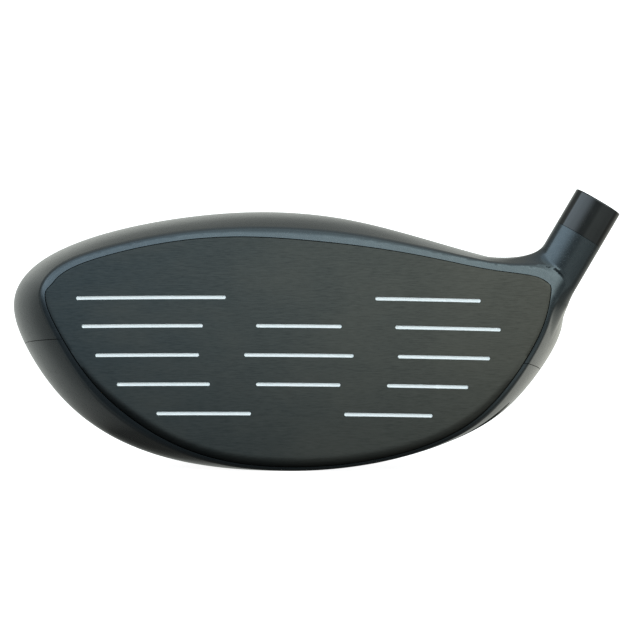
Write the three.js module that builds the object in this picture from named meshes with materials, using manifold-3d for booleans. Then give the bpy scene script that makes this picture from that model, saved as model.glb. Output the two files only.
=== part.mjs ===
// A right-handed golf driver head with an adjustable hosel: a hollow body of crown, sole and
// face plate, a shaft adapter held by a screw from the sole, and a screw-in rear weight.
//
// Millimetres. +Z is up from the ground, -Y is the way the face looks and +X is the heel side,
// where the shaft goes. The origin is on the ground under the middle of the head's bounding box.
import * as THREE from 'three';
import { mergeVertices } from 'three/addons/utils/BufferGeometryUtils.js';
import Module from 'manifold-3d';

const wasm = await Module();
wasm.setup();

// ---------------------------------------------------------------- driving dimensions

const GAP = 0.3; // clearance that every piece keeps to its neighbours

// Face: a bulge and a roll of the same radius, leaning back by the loft.
const FACE = { x: -4.5, y: -51.2, z: 28.5, radius: 300, loft: THREE.MathUtils.degToRad(10.5) };
const FACE_THICKNESS = 2.6;
const EDGE_RADIUS = 1.4; // rounding between the face and the body around it
const TOPLINE_BAND = 2.1; // painted band over the face plate
const SIDE_BAND = 0.9; // painted rim beside and below it

// Body: sections shrink from the hub, behind the face, to the tail.
const HUB = { x: -7, z: 38 };
const TAIL = { x: -6, y: 55, z: 29 };
const FLARE_END = 0.3; // share of the depth where the body reaches its full section
const CLOSE_START = 0.18; // share of the depth where it begins to close to the tail
const WIDTH_CLOSING = { power: 2.2, root: 0.5 };
const HEIGHT_CLOSING = { power: 2, root: 0.6 };
const CROWN_WALL = 0.8;
const SOLE_WALL = 1.3;

// Seam between crown and sole: a plane that falls towards the heel and the tail.
const SEAM = { z: 26.3, y: FACE.y + 30, perX: -0.053, perY: -0.065 };

// Hosel: distances along its axis are measured down from the centre of its top end.
const LIE = THREE.MathUtils.degToRad(59.5);
const HOSEL_TOP = new THREE.Vector3(67.7, FACE.y + 16.5, 63.8);
const HOSEL_RADIUS = 6;
const BORE_RADIUS = 5.3;
const COLLAR_END = 9.1;
const NECK_START = COLLAR_END + GAP;
const NECK_END = 36;
const NECK_BOTTOM = 29.4; // where the flared part closes on the axis, well inside the body
const NECK_FILLET = { // how far the fillet reaches from the corner, on each side of the hosel
  toe: 11, back: 9, front: 1, heel: 4,
};
const SLEEVE = { radius: 5, shaftRadius: 4.3, shaftDepth: 29, webEnd: 30.5, end: 40 };
const KEY = { count: 4, width: 1.6, depth: 2 };
const INSERT_END = 48;
const SCREW = { shank: 2.5, clearance: 2.8, tip: 32, head: 4.2, headStart: 49.5, headEnd: 53.5 };
const SCREW_WASHER = { inner: 2.8, outer: 4.6, thickness: 0.9 };
const SCREW_RING = { centre: SCREW.shank + GAP + 0.45, wire: 0.45, aboveEnd: 2 };
const SCREW_SOCKET = { acrossFlats: 4, depth: 2.6 };
const HOSEL_TUBE_RADIUS = 6;
const HOSEL_TUBE_LENGTH = 40;

// Rear weight: sits in a port on the sole, near the tail.
const PORT = { depthShare: 0.8, rim: 9.5, pocket: 7.9, pocketDepth: 6, floor: 1.6, thread: 2.4 };
const WEIGHT = { radius: 7.4, thickness: 4.6, stub: 2, stubLength: 4.6, recess: 0.3 };
const WEIGHT_WASHER = { inner: 2.5, outer: 5, thickness: 0.8 };
const WEIGHT_SOCKET = { acrossFlats: 5, depth: 3 };

const BADGE = { depthShare: 0.56, halfWidth: 14, halfLength: 8, thickness: 0.5 };

// Strips inside: ribs stand on the sole and braces hang from the crown. Each runs along one axis
// at a place on the other.
const RIB = { thickness: 1.2, height: 5 };
const FRONT_RIB = { y: -22, from: -42, to: 22 };
const MIDDLE_RIB = { y: 4, from: -42, to: 34 };
const LONG_RIB = { x: -10, from: -21, to: 3 };
const BRACE = { heelX: 14, toeX: -28, from: -36, to: 30, height: 3 };

const SLUG = { x: -52, y: -12, z: 14.5, halfWidth: 7, halfLength: 10, halfHeight: 5 };

// Edge of the body's front, as x and z seen along +Y, from the heel over the top to the toe.
const FRONT_EDGE = [
  [55.4, 34], [56.8, 40.6], [53.9, 46.6], [44.1, 48.8], [32.3, 51.5], [20.5, 54.1],
  [8.7, 56.2], [-3.1, 57.3], [-14.9, 57.7], [-26.7, 57.2], [-38.5, 55.6], [-50.3, 52.9],
  [-60.6, 49.5], [-65.4, 44.4], [-65.1, 39], [-62, 33], [-57.6, 25.5], [-51.7, 18],
  [-43.6, 11.1], [-33.2, 4.9], [-21, 1.1], [-8, -0.1], [5, 0.3], [18, 2.4],
  [29.7, 6], [39.1, 11.3], [45.8, 18.5], [51.1, 26],
];

// Fullest section of the body, point for point with the front edge.
const FULL_SECTION = [
  [59.7, 33.4], [60.5, 40.2], [54.5, 46.8], [45.3, 50], [32.3, 53.8], [20, 57.5],
  [7.7, 60.6], [-4.5, 62.1], [-17, 62.3], [-30, 61.2], [-43, 59.1], [-55.8, 55.8],
  [-67, 50.8], [-73.2, 44.3], [-74, 37.8], [-71.5, 31], [-66.9, 23], [-60.1, 14.7],
  [-50.4, 7.5], [-38.2, 2.5], [-24.3, -0.1], [-9, -0.9], [6, 0.1], [20, 2.3],
  [32.4, 5.9], [43.8, 11.5], [50.6, 18.4], [55.6, 25.9],
];

// Score lines of the face: height of each row, and where its lines start and end.
const SCORE_ROWS = [
  { z: 40.9, spans: [[-56.7, -21.1], [14.3, 39.3]] },
  { z: 34.2, spans: [[-55.3, -26.5], [-13.9, 6.3], [19, 44]] },
  { z: 27.3, spans: [[-52, -27.4], [-16.7, 9.1], [19.6, 41.4]] },
  { z: 20.4, spans: [[-46.8, -24.8], [-13.9, 6], [17, 36.2]] },
  { z: 13.5, spans: [[-37.4, -15.1], [6.9, 27.7]] },
];
const SCORE = { width: 0.85, depth: 0.35, arch: 0.12, tilt: -0.0085 };

// Mesh fineness
const AROUND = 60;
const ALONG = 16;
const FACE_RINGS = 3;
const ROUND = 28;
const FILLET_STEPS = 5;
const FACET_SAG = 0.15; // how far the flat facets dip under the true skin
const OVERRUN = 1; // how far a cutter sticks out of what it cuts
const BEYOND = 400; // size of the boxes that stand for half spaces
const FAR_BEFORE_FACE = -20; // depth at which the cutters of the face's opening begin

// ---------------------------------------------------------------- solids and meshes

const { lerp, smoothstep } = THREE.MathUtils;

// A closed geometry as a manifold solid with its faces pointing out.
function solidOf(geometry) {
  const bare = (geometry.index ? geometry.toNonIndexed() : geometry.clone());
  bare.deleteAttribute('normal');
  bare.deleteAttribute('uv');
  const merged = mergeVertices(bare, 1e-4);
  const triVerts = new Uint32Array(merged.index.array);
  const build = () => new wasm.Manifold(new wasm.Mesh({
    numProp: 3, vertProperties: merged.attributes.position.array, triVerts,
  }));
  const solid = build();
  if (solid.volume() > 0) return solid;
  for (let i = 0; i < triVerts.length; i += 3) {
    [triVerts[i + 1], triVerts[i + 2]] = [triVerts[i + 2], triVerts[i + 1]];
  }
  return build();
}

function geometryOf(solid) {
  const { vertProperties, triVerts, numProp, numVert } = solid.getMesh();
  const positions = new Float32Array(numVert * 3);
  for (let i = 0; i < numVert; i++) {
    positions.set(vertProperties.subarray(i * numProp, i * numProp + 3), i * 3);
  }
  const geometry = new THREE.BufferGeometry();
  geometry.setAttribute('position', new THREE.BufferAttribute(positions, 3));
  geometry.setIndex(new THREE.BufferAttribute(new Uint32Array(triVerts), 1));
  geometry.computeVertexNormals();
  return geometry;
}

// Closed surface through rings of points with equal counts. A ring of one point is a pole.
function ringGeometry(rings) {
  const vertices = rings.flat();
  const starts = [];
  rings.reduce((at, ring) => (starts.push(at), at + ring.length), 0);
  const index = [];
  for (let r = 0; r + 1 < rings.length; r++) {
    const [a, b] = [rings[r], rings[r + 1]];
    const count = Math.max(a.length, b.length);
    for (let i = 0; i < count; i++) {
      const j = (i + 1) % count;
      const corner = (ring, start, k) => start + (ring.length === 1 ? 0 : k);
      const [ai, aj] = [corner(a, starts[r], i), corner(a, starts[r], j)];
      const [bi, bj] = [corner(b, starts[r + 1], i), corner(b, starts[r + 1], j)];
      if (ai !== aj) index.push(ai, bi, aj);
      if (bi !== bj) index.push(aj, bi, bj);
    }
  }
  const geometry = new THREE.BufferGeometry().setFromPoints(vertices);
  geometry.setIndex(index);
  return geometry;
}

function mesh(name, solid, material) {
  const made = new THREE.Mesh(geometryOf(solid), material);
  made.name = name;
  return made;
}

// ---------------------------------------------------------------- outlines

// Points of a closed uniform cubic B-spline.
function closedSpline(points, samples) {
  return Array.from({ length: samples }, (_, k) => {
    const u = (k / samples) * points.length;
    const i = Math.floor(u);
    const f = u - i;
    const weights = [
      (1 - f) ** 3, 3 * f ** 3 - 6 * f * f + 4, -3 * f ** 3 + 3 * f * f + 3 * f + 1, f ** 3,
    ];
    const at = (axis) => weights.reduce(
      (sum, w, n) => sum + (w / 6) * points[(i + n - 1 + points.length) % points.length][axis], 0);
    return new THREE.Vector2(at(0), at(1));
  });
}

// The outline moved inwards by an amount that depends on its outward normal.
function insetOutline(outline, amount) {
  return outline.map((point, i) => {
    const before = outline.at(i - 1);
    const after = outline[(i + 1) % outline.length];
    const normal = new THREE.Vector2(after.y - before.y, before.x - after.x).normalize();
    return point.clone().addScaledVector(normal, -amount(normal));
  });
}

// The outline's distance from the hub as a function of the angle around it.
function radiusAround(outline) {
  const table = outline.map((p) => {
    const angle = Math.atan2(p.y - HUB.z, p.x - HUB.x);
    return { angle, radius: Math.hypot(p.x - HUB.x, p.y - HUB.z) };
  }).sort((a, b) => a.angle - b.angle);
  return (angle) => {
    const wrapped = Math.atan2(Math.sin(angle), Math.cos(angle));
    const found = table.findIndex((e) => e.angle > wrapped);
    const next = table[found < 0 ? 0 : found];
    const last = table.at((found < 0 ? 0 : found) - 1);
    const span = (next.angle - last.angle + 2 * Math.PI) % (2 * Math.PI);
    const past = (wrapped - last.angle + 2 * Math.PI) % (2 * Math.PI);
    return lerp(last.radius, next.radius, past / span);
  };
}

const OUTLINE_SAMPLES = 360;
const frontOutline = closedSpline(FRONT_EDGE, OUTLINE_SAMPLES);
const frontRadius = radiusAround(frontOutline);
const fullRadius = radiusAround(closedSpline(FULL_SECTION, OUTLINE_SAMPLES));

// The painted rim is widest where the edge faces up.
const bandWidth = (normal) => lerp(SIDE_BAND, TOPLINE_BAND, smoothstep(normal.y, 0, 0.6));

// ---------------------------------------------------------------- body surface

function faceY(x, z) {
  const fall = ((x - FACE.x) ** 2 + (z - FACE.z) ** 2) / (2 * FACE.radius);
  return FACE.y + fall + (z - FACE.z) * Math.tan(FACE.loft);
}

// Centre and scale of the body's section. share runs from 0 at the face to 1 at the tail.
function section(share) {
  const closing = Math.min(Math.max(0, (share - CLOSE_START) / (1 - CLOSE_START)), 1);
  const shift = smoothstep(closing, 0, 1);
  return {
    x: lerp(HUB.x, TAIL.x, shift),
    z: lerp(HUB.z, TAIL.z, shift),
    wide: (1 - closing ** WIDTH_CLOSING.power) ** WIDTH_CLOSING.root,
    high: (1 - closing ** HEIGHT_CLOSING.power) ** HEIGHT_CLOSING.root,
  };
}

function sectionRadius(angle, share) {
  const flare = 1 - (1 - Math.min(share / FLARE_END, 1)) ** 2;
  return lerp(frontRadius(angle), fullRadius(angle), flare);
}

// A point of the outer skin.
function skinPoint(angle, share, inset = 0) {
  const { x: hubX, z: hubZ, wide, high } = section(share);
  const radius = sectionRadius(angle, share) - inset;
  const x = hubX + radius * Math.cos(angle) * wide;
  const z = hubZ + radius * Math.sin(angle) * high;
  return new THREE.Vector3(x, lerp(faceY(x, z), TAIL.y, share), z);
}

// How deep a point lies under the skin, measured in its section. Negative outside.
function depthInside({ x, y, z }) {
  const front = faceY(x, z);
  const share = Math.max(0, (y - front) / (TAIL.y - front));
  const { x: hubX, z: hubZ, wide, high } = section(share);
  const [u, v] = [(x - hubX) / wide, (z - hubZ) / high];
  return sectionRadius(Math.atan2(v, u), share) - Math.hypot(u, v);
}

function outwardNormal(point) {
  const step = 0.05;
  const slope = (axis) => {
    const [low, high] = [point.clone(), point.clone()];
    low[axis] -= step;
    high[axis] += step;
    return depthInside(low) - depthInside(high);
  };
  return new THREE.Vector3(slope('x'), slope('y'), slope('z')).normalize();
}

// Directions from the hub, closer together towards the toe and the heel, which are far away.
const CROWDING = 0.2;
const angles = Array.from({ length: AROUND }, (_, i) => {
  const even = (i / AROUND) * 2 * Math.PI;
  return even - CROWDING * Math.sin(2 * even);
});

function skinGeometry() {
  const rings = [];
  const depth = TAIL.y - FACE.y;
  for (let k = 0; k < FACE_RINGS; k++) {
    const ring = angles.map((a) => {
      const reach = (frontRadius(a) - EDGE_RADIUS) * (k / FACE_RINGS);
      const [x, z] = [HUB.x + reach * Math.cos(a), HUB.z + reach * Math.sin(a)];
      return new THREE.Vector3(x, faceY(x, z), z);
    });
    rings.push(k ? ring : [ring[0]]);
  }
  for (const turn of [0, Math.PI / 4, Math.PI / 2]) {
    const inset = EDGE_RADIUS * (1 - Math.sin(turn));
    const back = EDGE_RADIUS * (1 - Math.cos(turn));
    rings.push(angles.map((a) => skinPoint(a, back / depth, inset)));
  }
  for (let k = 1; k < ALONG; k++) {
    rings.push(angles.map((a) => skinPoint(a, Math.sin((k / ALONG) * (Math.PI / 2)))));
  }
  rings.push([new THREE.Vector3(TAIL.x, TAIL.y, TAIL.z)]);
  return ringGeometry(rings);
}

// A copy of the geometry whose surface lies deeper by depthAt(vertex).
function shrunk(geometry, depthAt) {
  const copy = geometry.clone();
  copy.computeVertexNormals();
  const { position, normal } = copy.attributes;
  const [point, out] = [new THREE.Vector3(), new THREE.Vector3()];
  for (let i = 0; i < position.count; i++) {
    point.fromBufferAttribute(position, i);
    out.fromBufferAttribute(normal, i);
    point.addScaledVector(out, -depthAt(point));
    position.setXYZ(i, point.x, point.y, point.z);
  }
  return copy;
}

const seamZ = (x, y) => SEAM.z + SEAM.perX * x + SEAM.perY * (y - SEAM.y);
const wallAt = (p) => (p.z > seamZ(p.x, p.y) ? CROWN_WALL : SOLE_WALL);

// Big box whose top (side -1) or bottom (side 1) lies on the seam, half the gap away from it.
function seamSide(side) {
  const box = new THREE.BoxGeometry(BEYOND, BEYOND, BEYOND);
  box.translate(0, 0, side * (BEYOND / 2 + GAP / 2));
  const up = new THREE.Vector3(-SEAM.perX, -SEAM.perY, 1).normalize();
  box.applyQuaternion(new THREE.Quaternion().setFromUnitVectors(new THREE.Vector3(0, 0, 1), up));
  return solidOf(box.translate(0, SEAM.y, SEAM.z));
}

function ground() {
  return solidOf(new THREE.BoxGeometry(BEYOND, BEYOND, BEYOND).translate(0, 0, -BEYOND / 2));
}

const skin = skinGeometry();
const outside = solidOf(skin).subtract(ground());
const cavity = solidOf(shrunk(skin, wallAt));
const roomInside = solidOf(shrunk(skin, (p) => wallAt(p) + GAP));

// ---------------------------------------------------------------- frames of the turned parts

// Frame on the hosel's axis, whose +Z runs down from the top end and +X points to the heel.
const hoselDown = new THREE.Vector3(-Math.cos(LIE), 0, -Math.sin(LIE));
const hoselFrame = new THREE.Matrix4().makeBasis(
  new THREE.Vector3(Math.sin(LIE), 0, -Math.cos(LIE)), new THREE.Vector3(0, -1, 0), hoselDown,
).setPosition(HOSEL_TOP);

// Frame on the sole's skin at a share of its depth, whose +Z points out of the body.
function soleFrame(share) {
  const down = -Math.PI / 2;
  const step = 1e-3;
  const point = skinPoint(down, share);
  const along = skinPoint(down, share + step).sub(point);
  const across = skinPoint(down + step, share).sub(point);
  const out = along.cross(across).normalize();
  if (out.z > 0) out.negate();
  const side = new THREE.Vector3(1, 0, 0);
  const third = new THREE.Vector3().crossVectors(out, side).normalize();
  return new THREE.Matrix4().makeBasis(third.clone().cross(out), third, out).setPosition(point);
}

// Solid of revolution about a frame's +Z, from [radius, distance] corners.
function turned(frame, corners) {
  const profile = corners.map(([r, z]) => new THREE.Vector2(r, z));
  if (corners[0][0] > 0) profile.push(profile[0].clone());
  const lathe = new THREE.LatheGeometry(profile, ROUND).rotateX(Math.PI / 2);
  return solidOf(lathe.applyMatrix4(frame));
}

const disc = (frame, radius, from, to) => turned(
  frame, [[0, from], [radius, from], [radius, to], [0, to]]);
const ring = (frame, inner, outer, from, to) => turned(
  frame, [[inner, from], [outer, from], [outer, to], [inner, to]]);

// Six-sided socket for a key, from one distance to another.
function socket(frame, { acrossFlats }, from, to) {
  const radius = acrossFlats / 2 / Math.cos(Math.PI / 6);
  const prism = new THREE.CylinderGeometry(radius, radius, to - from, 6).rotateX(Math.PI / 2);
  return solidOf(prism.translate(0, 0, (from + to) / 2).applyMatrix4(frame));
}

// ---------------------------------------------------------------- neck

// Distance along the hosel at which a line on its surface enters the body.
function entry(turn) {
  let [outsideAt, insideAt] = [NECK_START, NECK_END];
  for (let i = 0; i < 24; i++) {
    const middleAt = (outsideAt + insideAt) / 2;
    if (depthInside(hoselPoint(turn, middleAt)) > 0) insideAt = middleAt;
    else outsideAt = middleAt;
  }
  return (outsideAt + insideAt) / 2;
}

const hoselPoint = (turn, distance, radius = HOSEL_RADIUS) => new THREE.Vector3(
  radius * Math.cos(turn), radius * Math.sin(turn), distance).applyMatrix4(hoselFrame);

// The nearest point of the skin, give or take.
function ontoSkin(point) {
  const found = point.clone();
  for (let i = 0; i < 8; i++) {
    found.addScaledVector(outwardNormal(found), 0.8 * depthInside(found));
  }
  return found;
}

// The fillet between the hosel and the body, on one side of the hosel: points from the hosel's
// surface to the skin, then one below the skin.
function filletLine(turn) {
  const [heel, front] = [Math.cos(turn), Math.sin(turn)];
  const reach = (heel > 0 ? NECK_FILLET.heel : NECK_FILLET.toe) * heel ** 2
    + (front > 0 ? NECK_FILLET.front : NECK_FILLET.back) * front ** 2;
  const at = entry(turn);
  const start = hoselPoint(turn, Math.max(at - reach, NECK_START + 0.2));
  const corner = hoselPoint(turn, at);
  const normal = outwardNormal(corner);
  const away = hoselPoint(turn, at, 2 * HOSEL_RADIUS).sub(corner);
  away.addScaledVector(normal, -away.dot(normal)).normalize();
  const end = ontoSkin(corner.clone().addScaledVector(away, reach));
  end.addScaledVector(outwardNormal(end), -FACET_SAG);
  const curve = new THREE.QuadraticBezierCurve3(start, corner, end);
  const sunk = end.clone().addScaledVector(outwardNormal(end), -1);
  return [...curve.getPoints(FILLET_STEPS), sunk];
}

// The hosel's outside below the collar, which spreads into the crown.
function neck() {
  const turns = Array.from({ length: ROUND }, (_, i) => (i / ROUND) * 2 * Math.PI);
  const lines = turns.map(filletLine);
  const onAxis = (s) => [new THREE.Vector3(0, 0, s).applyMatrix4(hoselFrame)];
  return solidOf(ringGeometry([
    onAxis(NECK_START),
    turns.map((turn) => hoselPoint(turn, NECK_START)),
    ...lines[0].map((_, k) => lines.map((line) => line[k])),
    onAxis(NECK_BOTTOM),
  ]));
}

// ---------------------------------------------------------------- face

// Slab that follows the face, inside a radius given for each direction from the hub. front and
// back are depths behind the face's surface.
function faceSlab(reach, front, back) {
  const ringAt = (share, depth) => angles.map((a) => {
    const [x, z] = [HUB.x + share * reach(a) * Math.cos(a), HUB.z + share * reach(a) * Math.sin(a)];
    return new THREE.Vector3(x, faceY(x, z) + depth, z);
  });
  const shares = Array.from({ length: FACE_RINGS }, (_, k) => (k + 1) / FACE_RINGS);
  const pole = (depth) => [ringAt(0, depth)[0]];
  return solidOf(ringGeometry([
    pole(front),
    ...shares.map((share) => ringAt(share, front)),
    ...shares.toReversed().map((share) => ringAt(share, back)),
    pole(back),
  ]));
}

// One score line's cutter: a slot with round ends, straight through the face.
function scoreLine([from, to], rowZ) {
  const heightAt = (x) => rowZ + SCORE.tilt * (x - FACE.x)
    - (SCORE.arch * (x - FACE.x) ** 2) / (2 * FACE.radius);
  const [z1, z2] = [heightAt(from), heightAt(to)];
  const half = SCORE.width / 2;
  const length = Math.hypot(to - from, z2 - z1) - SCORE.width;
  const shape = new THREE.Shape();
  shape.absarc(length / 2, 0, half, -Math.PI / 2, Math.PI / 2);
  shape.absarc(-length / 2, 0, half, Math.PI / 2, -Math.PI / 2);
  const depth = -2 * FAR_BEFORE_FACE;
  const slot = new THREE.ExtrudeGeometry(shape, { depth, bevelEnabled: false, curveSegments: 3 });
  slot.translate(0, 0, -depth / 2).rotateZ(Math.atan2(z2 - z1, to - from)).rotateX(Math.PI / 2);
  return solidOf(slot.translate((from + to) / 2, FACE.y, (z1 + z2) / 2));
}

function facePlate() {
  const outline = radiusAround(insetOutline(frontOutline, bandWidth));
  const uncut = faceSlab(outline, SCORE.depth, FACE_THICKNESS);
  let plate = faceSlab(outline, 0, FACE_THICKNESS);
  for (const { z, spans } of SCORE_ROWS) {
    for (const span of spans) plate = plate.subtract(scoreLine(span, z).subtract(uncut));
  }
  return plate;
}

// The space in front of the face and just past its edge, where the neck's fillet mustn't stand.
const PAST_EDGE = 2;
const frontOfFace = () => faceSlab((angle) => frontRadius(angle) + PAST_EDGE, FAR_BEFORE_FACE, 0);

// What the face plate takes out of the body, from well in front of it to behind it.
function faceOpening() {
  const outline = radiusAround(insetOutline(frontOutline, (normal) => bandWidth(normal) - GAP));
  return faceSlab(outline, FAR_BEFORE_FACE, FACE_THICKNESS + GAP);
}

// ---------------------------------------------------------------- hosel parts

const tubeEnd = NECK_END + HOSEL_TUBE_LENGTH;
const hoselTube = () => ring(hoselFrame, BORE_RADIUS, HOSEL_TUBE_RADIUS, NECK_END + GAP, tubeEnd)
  .intersect(outside)
  .subtract(faceOpening());

const ferruleCollar = () => ring(hoselFrame, BORE_RADIUS, HOSEL_RADIUS, 0, COLLAR_END);

// Bars across the axis that key the sleeve's lower end to the insert.
function keyBars(width, from, to) {
  const bars = Array.from({ length: KEY.count / 2 }, (_, i) => solidOf(
    new THREE.BoxGeometry(2 * HOSEL_RADIUS, width, to - from)
      .translate(0, 0, (from + to) / 2)
      .rotateZ((i * 2 * Math.PI) / KEY.count)
      .applyMatrix4(hoselFrame)));
  return bars[0].add(bars[1]);
}

function adapterSleeve() {
  const top = GAP;
  return disc(hoselFrame, SLEEVE.radius, top, SLEEVE.end)
    .subtract(disc(hoselFrame, SLEEVE.shaftRadius, top - OVERRUN, SLEEVE.shaftDepth))
    .subtract(disc(hoselFrame, SCREW.clearance, SLEEVE.webEnd, SLEEVE.end + OVERRUN))
    .subtract(keyBars(KEY.width + 2 * GAP, SLEEVE.end - KEY.depth - GAP, SLEEVE.end + OVERRUN));
}

function hoselInsert() {
  const start = SLEEVE.end + GAP;
  const keyStart = SLEEVE.end - KEY.depth;
  const keys = disc(hoselFrame, SLEEVE.radius, keyStart, start + OVERRUN / 2)
    .intersect(keyBars(KEY.width, keyStart, start + OVERRUN));
  return disc(hoselFrame, SLEEVE.radius, start, INSERT_END)
    .add(keys)
    .subtract(disc(hoselFrame, SCREW.clearance, keyStart - OVERRUN, INSERT_END + OVERRUN));
}

function hoselScrew() {
  const { shank, tip, head, headStart, headEnd } = SCREW;
  const recess = socket(hoselFrame, SCREW_SOCKET, headEnd - SCREW_SOCKET.depth, headEnd + OVERRUN);
  return disc(hoselFrame, shank, tip, headStart + OVERRUN)
    .add(disc(hoselFrame, head, headStart, headEnd))
    .subtract(recess);
}

const screwWasher = () => ring(hoselFrame, SCREW_WASHER.inner, SCREW_WASHER.outer,
  INSERT_END + GAP, INSERT_END + GAP + SCREW_WASHER.thickness);

// Rubber ring that keeps the screw from rattling in the insert's counterbore.
const screwRingAt = INSERT_END - SCREW_RING.aboveEnd;
function screwRing() {
  const hoop = new THREE.TorusGeometry(SCREW_RING.centre, SCREW_RING.wire, 8, ROUND);
  return solidOf(hoop.translate(0, 0, screwRingAt).applyMatrix4(hoselFrame));
}
const screwRingRoom = () => disc(hoselFrame, SCREW_RING.centre + SCREW_RING.wire + GAP,
  screwRingAt - SCREW_RING.wire - GAP, INSERT_END + OVERRUN);

// ---------------------------------------------------------------- rear weight

// Distances below run out of the body, so those of buried faces are negative.
const portFrame = soleFrame(PORT.depthShare);
const pocketFloor = -PORT.pocketDepth;
const portStart = pocketFloor - PORT.floor;
const outOfBody = 7; // the sole curves up around the port by less than this

const rearWeightPort = () => disc(portFrame, PORT.rim, portStart, outOfBody)
  .subtract(disc(portFrame, PORT.pocket, pocketFloor, outOfBody + OVERRUN))
  .subtract(disc(portFrame, PORT.thread, portStart - OVERRUN, pocketFloor + OVERRUN))
  .intersect(outside);

function rearWeight() {
  const face = -WEIGHT.recess;
  const under = face - WEIGHT.thickness;
  return disc(portFrame, WEIGHT.radius, under, face)
    .add(disc(portFrame, WEIGHT.stub, under - WEIGHT.stubLength, under + OVERRUN))
    .subtract(socket(portFrame, WEIGHT_SOCKET, face - WEIGHT_SOCKET.depth, face + OVERRUN));
}

const rearWeightWasher = () => ring(portFrame, WEIGHT_WASHER.inner, WEIGHT_WASHER.outer,
  pocketFloor + GAP / 2, pocketFloor + GAP / 2 + WEIGHT_WASHER.thickness - GAP / 2);

// ---------------------------------------------------------------- badge, ribs and slug

function badgePrism(grow, depth) {
  const shape = new THREE.Shape().absellipse(
    0, 0, BADGE.halfWidth + grow, BADGE.halfLength + grow, 0, 2 * Math.PI);
  const height = 2 * BADGE.halfLength; // more than the sole curves within the badge
  const prism = new THREE.ExtrudeGeometry(
    shape, { depth: height, bevelEnabled: false, curveSegments: 20 });
  prism.translate(0, 0, -height / 2).applyMatrix4(soleFrame(BADGE.depthShare));
  return solidOf(prism).subtract(solidOf(shrunk(skin, () => depth)));
}

const soleBadge = () => badgePrism(0, BADGE.thickness).intersect(outside);
const badgeRecess = () => badgePrism(GAP, BADGE.thickness + GAP);

// Strip that stands on the sole's inside (rise > 0) or hangs from the crown's (rise < 0).
function strip(slab, rise) {
  return slab.intersect(roomInside).subtract(roomInside.translate([0, 0, rise]));
}

const crossSlab = ({ y, from, to }) => solidOf(
  new THREE.BoxGeometry(to - from, RIB.thickness, BEYOND).translate((from + to) / 2, y, 0));
const lengthSlab = ({ x, from, to }) => solidOf(
  new THREE.BoxGeometry(RIB.thickness, to - from, BEYOND).translate(x, (from + to) / 2, 0));
const braceSlab = (x) => lengthSlab({ x, from: BRACE.from, to: BRACE.to });

// Slug of tacky hot-melt glue that settles on the toe's inside wall.
function hotMeltSlug() {
  const blob = new THREE.SphereGeometry(1, 20, 12);
  blob.scale(SLUG.halfWidth, SLUG.halfLength, SLUG.halfHeight);
  return solidOf(blob.translate(SLUG.x, SLUG.y, SLUG.z)).intersect(roomInside);
}

// ---------------------------------------------------------------- shells

const hoselTubeRoom = () => disc(hoselFrame, HOSEL_TUBE_RADIUS + GAP, NECK_END, tubeEnd);

// The crown with the hosel's upper end, which runs on inside the body as a sleeve.
function crownShell() {
  return outside.subtract(cavity)
    .add(neck().subtract(roomInside).subtract(frontOfFace()))
    .add(disc(hoselFrame, HOSEL_RADIUS, NECK_START, NECK_END))
    .intersect(seamSide(1))
    .subtract(faceOpening())
    .subtract(disc(hoselFrame, BORE_RADIUS, -OVERRUN, NECK_END + OVERRUN))
    .subtract(hoselTubeRoom());
}

function soleShell() {
  return outside.subtract(cavity)
    .intersect(seamSide(-1))
    .subtract(faceOpening())
    .subtract(hoselTubeRoom())
    .subtract(disc(portFrame, PORT.rim + GAP, portStart - OVERRUN, outOfBody))
    .subtract(badgeRecess());
}

// ---------------------------------------------------------------- materials and scene graph

const material = (color, roughness, metalness) => new THREE.MeshStandardMaterial(
  { color, roughness, metalness });
const charcoalPaint = material(0x3a4043, 0.3, 0.4);
const brushedFace = material(0x43494a, 0.45, 0.9);
const blackGloss = material(0x121414, 0.15, 0.2);
const castTitanium = material(0x8a8a88, 0.55, 1);
const blackAluminium = material(0x1c1d1f, 0.4, 0.9);
const steel = material(0xb8babd, 0.3, 1);
const tungsten = material(0x5d5e60, 0.35, 1);
const rubber = material(0x151515, 0.9, 0);
const nylon = material(0xd8d6cd, 0.6, 0);
const hotMelt = material(0xc9a15a, 0.5, 0);
const badgeMetal = material(0x9a9da0, 0.35, 1);

const head = new THREE.Group();
head.add(
  mesh('crown_shell', crownShell(), charcoalPaint),
  mesh('sole_shell', soleShell(), charcoalPaint),
  mesh('face_plate', facePlate(), brushedFace),
  mesh('hosel_tube', hoselTube(), castTitanium),
  mesh('hosel_insert', hoselInsert().subtract(screwRingRoom()), blackAluminium),
  mesh('rear_weight_port', rearWeightPort(), castTitanium),
  mesh('sole_badge', soleBadge(), badgeMetal),
  mesh('sole_rib_front', strip(crossSlab(FRONT_RIB), RIB.height), castTitanium),
  mesh('sole_rib_middle', strip(crossSlab(MIDDLE_RIB), RIB.height), castTitanium),
  mesh('sole_rib_long', strip(lengthSlab(LONG_RIB), RIB.height), castTitanium),
  mesh('crown_brace_heel', strip(braceSlab(BRACE.heelX), -BRACE.height), castTitanium),
  mesh('crown_brace_toe', strip(braceSlab(BRACE.toeX), -BRACE.height), castTitanium),
  mesh('hot_melt_slug', hotMeltSlug(), hotMelt),
  mesh('hosel_screw_ring', screwRing(), rubber),
);

const adapter = new THREE.Group();
adapter.add(
  mesh('adapter_sleeve', adapterSleeve(), blackAluminium),
  mesh('ferrule_collar', ferruleCollar(), blackGloss),
);

const hoselFastener = new THREE.Group();
hoselFastener.add(
  mesh('hosel_screw', hoselScrew(), steel),
  mesh('hosel_screw_washer', screwWasher(), nylon),
);

const rearFastener = new THREE.Group();
rearFastener.add(
  mesh('rear_weight', rearWeight(), tungsten),
  mesh('rear_weight_washer', rearWeightWasher(), rubber),
);

const driverHead = new THREE.Group();
driverHead.add(head, adapter, hoselFastener, rearFastener);

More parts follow.
